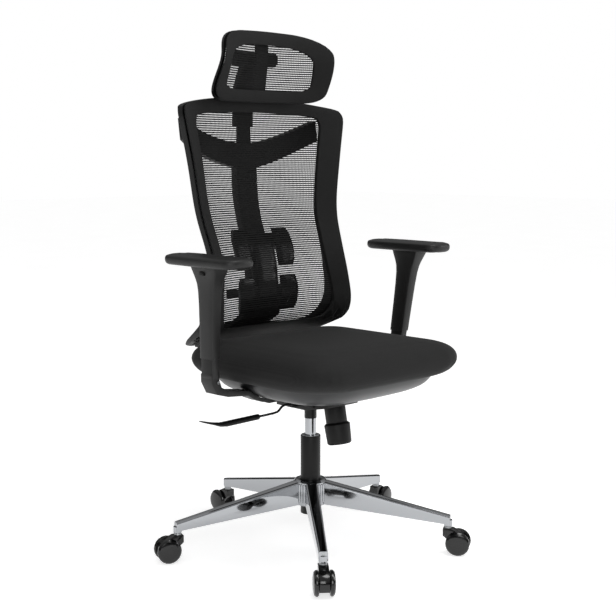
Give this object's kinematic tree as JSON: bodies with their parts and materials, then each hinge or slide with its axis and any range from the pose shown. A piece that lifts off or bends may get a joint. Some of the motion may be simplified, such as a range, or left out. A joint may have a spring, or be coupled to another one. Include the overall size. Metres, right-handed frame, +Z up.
{
  "type": "swivel office chair",
  "caption": "High-back swivel office chair with mesh back, lumbar support, headrest, arms that slide in height, gas lift and a chromed star base on twin-wheel casters.",
  "frame": {"origin": "on the floor, under the middle of the chair's bounding box", "axes": "+Z up; the sitter faces -Y; +X is the sitter's left"},
  "size_m": [0.7436, 0.7203, 1.2252],
  "materials": {
    "chrome": "mirror polished",
    "black_steel": "satin black paint",
    "bare_steel": "bare",
    "black_plastic": "fine grain",
    "gloss_black": "gloss",
    "grey_plastic": "fine grain",
    "soft_black": "soft touch",
    "black_fabric": "woven",
    "mesh_fabric": "open net",
    "plywood": "plain"
  },
  "bodies": {
    "base": {"base_star": "chrome", "gas_tube": "black_steel", "guide_bush": "grey_plastic", "tube_foot_clip": "bare_steel", "gas_rod": "bare_steel"},
    "lift": {"gas_cylinder": "chrome"},
    "mechanism": {"mechanism_body": "black_steel", "tilt_pin": "bare_steel", "spring_cup": "black_plastic", "tension_spring": "bare_steel"},
    "knob": {"tension_knob": "black_plastic", "tension_bolt": "bare_steel"},
    "rocker": {"lever_rocker": "black_steel"},
    "lever": {"lever_rod": "black_steel", "lever_grip": "black_plastic"},
    "seat": {"seat_plate": "black_steel", "seat_shell": "grey_plastic", "seat_board": "plywood", "seat_cushion": "black_fabric", "back_bar": "black_steel", "back_bar_cover": "black_plastic", "back_frame": "black_plastic", "back_border": "black_fabric", "back_mesh": "mesh_fabric", "back_spine": "black_plastic", "arm_bracket_left": "black_plastic", "arm_bracket_right": "black_plastic"},
    "arm_left": {"arm_sleeve_left": "soft_black", "arm_pad_left": "soft_black"},
    "arm_button_left": {"arm_button_left": "black_plastic"},
    "arm_right": {"arm_sleeve_right": "soft_black", "arm_pad_right": "soft_black"},
    "arm_button_right": {"arm_button_right": "black_plastic"},
    "lumbar": {"lumbar_slider": "black_plastic", "lumbar_pad": "soft_black"},
    "headrest_mount": {"headrest_post": "black_plastic"},
    "headrest": {"headrest_hinge": "black_plastic", "headrest_frame": "black_plastic", "headrest_border": "black_fabric", "headrest_mesh": "mesh_fabric"},
    "caster_1": {"caster_stem_1": "bare_steel", "caster_housing_1": "gloss_black"},
    "wheel_1_left": {"caster_wheel_1_left": "gloss_black"},
    "wheel_1_right": {"caster_wheel_1_right": "gloss_black"},
    "caster_2": {"caster_stem_2": "bare_steel", "caster_housing_2": "gloss_black"},
    "wheel_2_left": {"caster_wheel_2_left": "gloss_black"},
    "wheel_2_right": {"caster_wheel_2_right": "gloss_black"},
    "caster_3": {"caster_stem_3": "bare_steel", "caster_housing_3": "gloss_black"},
    "wheel_3_left": {"caster_wheel_3_left": "gloss_black"},
    "wheel_3_right": {"caster_wheel_3_right": "gloss_black"},
    "caster_4": {"caster_stem_4": "bare_steel", "caster_housing_4": "gloss_black"},
    "wheel_4_left": {"caster_wheel_4_left": "gloss_black"},
    "wheel_4_right": {"caster_wheel_4_right": "gloss_black"},
    "caster_5": {"caster_stem_5": "bare_steel", "caster_housing_5": "gloss_black"},
    "wheel_5_left": {"caster_wheel_5_left": "gloss_black"},
    "wheel_5_right": {"caster_wheel_5_right": "gloss_black"}
  },
  "joints": [
    {"name": "gas_slide", "type": "slide", "parent": "base", "child": "lift", "axis": [0, 0, 1], "range_m": [-0.035, 0.05]},
    {"name": "seat_swivel", "type": "hinge", "parent": "lift", "child": "mechanism", "pos_m": [-0.0045, -0.0245, 0.3152], "axis": [0, 0, 1], "continuous": true},
    {"name": "tilt", "type": "hinge", "parent": "mechanism", "child": "seat", "pos_m": [-0.0045, -0.0745, 0.3612], "axis": [-1, 0, 0], "range_deg": [0, 15], "stiffness_Nm_per_rad": 90, "springref_deg": -25.78},
    {"name": "knob_turn", "type": "hinge", "parent": "mechanism", "child": "knob", "pos_m": [-0.0045, -0.1042, 0.3549], "axis": [0, 0.1977, 0.9803], "continuous": true},
    {"name": "lever_lift", "type": "hinge", "parent": "mechanism", "child": "rocker", "pos_m": [-0.064, -0.0245, 0.3522], "axis": [0, 1, 0], "range_deg": [0, 5], "stiffness_Nm_per_rad": 3, "springref_deg": -14.32},
    {"name": "lever_pull", "type": "slide", "parent": "rocker", "child": "lever", "axis": [-1, 0, 0], "range_m": [0, 0.012]},
    {"name": "arm_left_slide", "type": "slide", "parent": "seat", "child": "arm_left", "axis": [0.0717, -0.0976, 0.9926], "range_m": [-0.03, 0.05]},
    {"name": "arm_left_button", "type": "slide", "parent": "arm_left", "child": "arm_button_left", "axis": [-1, 0, 0], "range_m": [0, 0.003], "stiffness_N_per_m": 300, "springref_m": -0.002},
    {"name": "arm_right_slide", "type": "slide", "parent": "seat", "child": "arm_right", "axis": [-0.0717, -0.0976, 0.9926], "range_m": [-0.03, 0.05]},
    {"name": "arm_right_button", "type": "slide", "parent": "arm_right", "child": "arm_button_right", "axis": [1, 0, 0], "range_m": [0, 0.003], "stiffness_N_per_m": 300, "springref_m": -0.002},
    {"name": "lumbar_slide", "type": "slide", "parent": "seat", "child": "lumbar", "axis": [0, 0.1191, 0.9929], "range_m": [-0.008, 0.008]},
    {"name": "headrest_slide", "type": "slide", "parent": "seat", "child": "headrest_mount", "axis": [0, 0, 1], "range_m": [0, 0.05]},
    {"name": "headrest_tilt", "type": "hinge", "parent": "headrest_mount", "child": "headrest", "pos_m": [-0.0045, 0.173, 1.1622], "axis": [-1, 0, 0], "range_deg": [-3, 20]},
    {"name": "caster_1_swivel", "type": "hinge", "parent": "base", "child": "caster_1", "pos_m": [-0.21564, -0.28201, 0.06], "axis": [0, 0, 1], "continuous": true},
    {"name": "wheel_1_left_spin", "type": "hinge", "parent": "caster_1", "child": "wheel_1_left", "pos_m": [-0.23086, -0.30056, 0.0285], "axis": [0.7733, -0.6341, 0], "continuous": true},
    {"name": "wheel_1_right_spin", "type": "hinge", "parent": "caster_1", "child": "wheel_1_right", "pos_m": [-0.23086, -0.30056, 0.0285], "axis": [0.7733, -0.6341, 0], "continuous": true},
    {"name": "caster_2_swivel", "type": "hinge", "parent": "base", "child": "caster_2", "pos_m": [0.17516, -0.30488, 0.06], "axis": [0, 0, 1], "continuous": true},
    {"name": "wheel_2_left_spin", "type": "hinge", "parent": "caster_2", "child": "wheel_2_left", "pos_m": [0.1881, -0.32509, 0.0285], "axis": [0.842, 0.5395, 0], "continuous": true},
    {"name": "wheel_2_right_spin", "type": "hinge", "parent": "caster_2", "child": "wheel_2_right", "pos_m": [0.1881, -0.32509, 0.0285], "axis": [0.842, 0.5395, 0], "continuous": true},
    {"name": "caster_3_swivel", "type": "hinge", "parent": "base", "child": "caster_3", "pos_m": [0.31767, 0.05972, 0.06], "axis": [0, 0, 1], "continuous": true},
    {"name": "wheel_3_left_spin", "type": "hinge", "parent": "caster_3", "child": "wheel_3_left", "pos_m": [0.34089, 0.06579, 0.0285], "axis": [-0.2529, 0.9675, 0], "continuous": true},
    {"name": "wheel_3_right_spin", "type": "hinge", "parent": "caster_3", "child": "wheel_3_right", "pos_m": [0.34089, 0.06579, 0.0285], "axis": [-0.2529, 0.9675, 0], "continuous": true},
    {"name": "caster_4_swivel", "type": "hinge", "parent": "base", "child": "caster_4", "pos_m": [0.01496, 0.30793, 0.06], "axis": [0, 0, 1], "continuous": true},
    {"name": "wheel_4_left_spin", "type": "hinge", "parent": "caster_4", "child": "wheel_4_left", "pos_m": [0.01636, 0.33189, 0.0285], "axis": [-0.9983, 0.0584, 0], "continuous": true},
    {"name": "wheel_4_right_spin", "type": "hinge", "parent": "caster_4", "child": "wheel_4_right", "pos_m": [0.01636, 0.33189, 0.0285], "axis": [-0.9983, 0.0584, 0], "continuous": true},
    {"name": "caster_5_swivel", "type": "hinge", "parent": "base", "child": "caster_5", "pos_m": [-0.31465, 0.09673, 0.06], "axis": [0, 0, 1], "continuous": true},
    {"name": "wheel_5_left_spin", "type": "hinge", "parent": "caster_5", "child": "wheel_5_left", "pos_m": [-0.337, 0.10547, 0.0285], "axis": [-0.3641, -0.9314, 0], "continuous": true},
    {"name": "wheel_5_right_spin", "type": "hinge", "parent": "caster_5", "child": "wheel_5_right", "pos_m": [-0.337, 0.10547, 0.0285], "axis": [-0.3641, -0.9314, 0], "continuous": true}
  ]
}
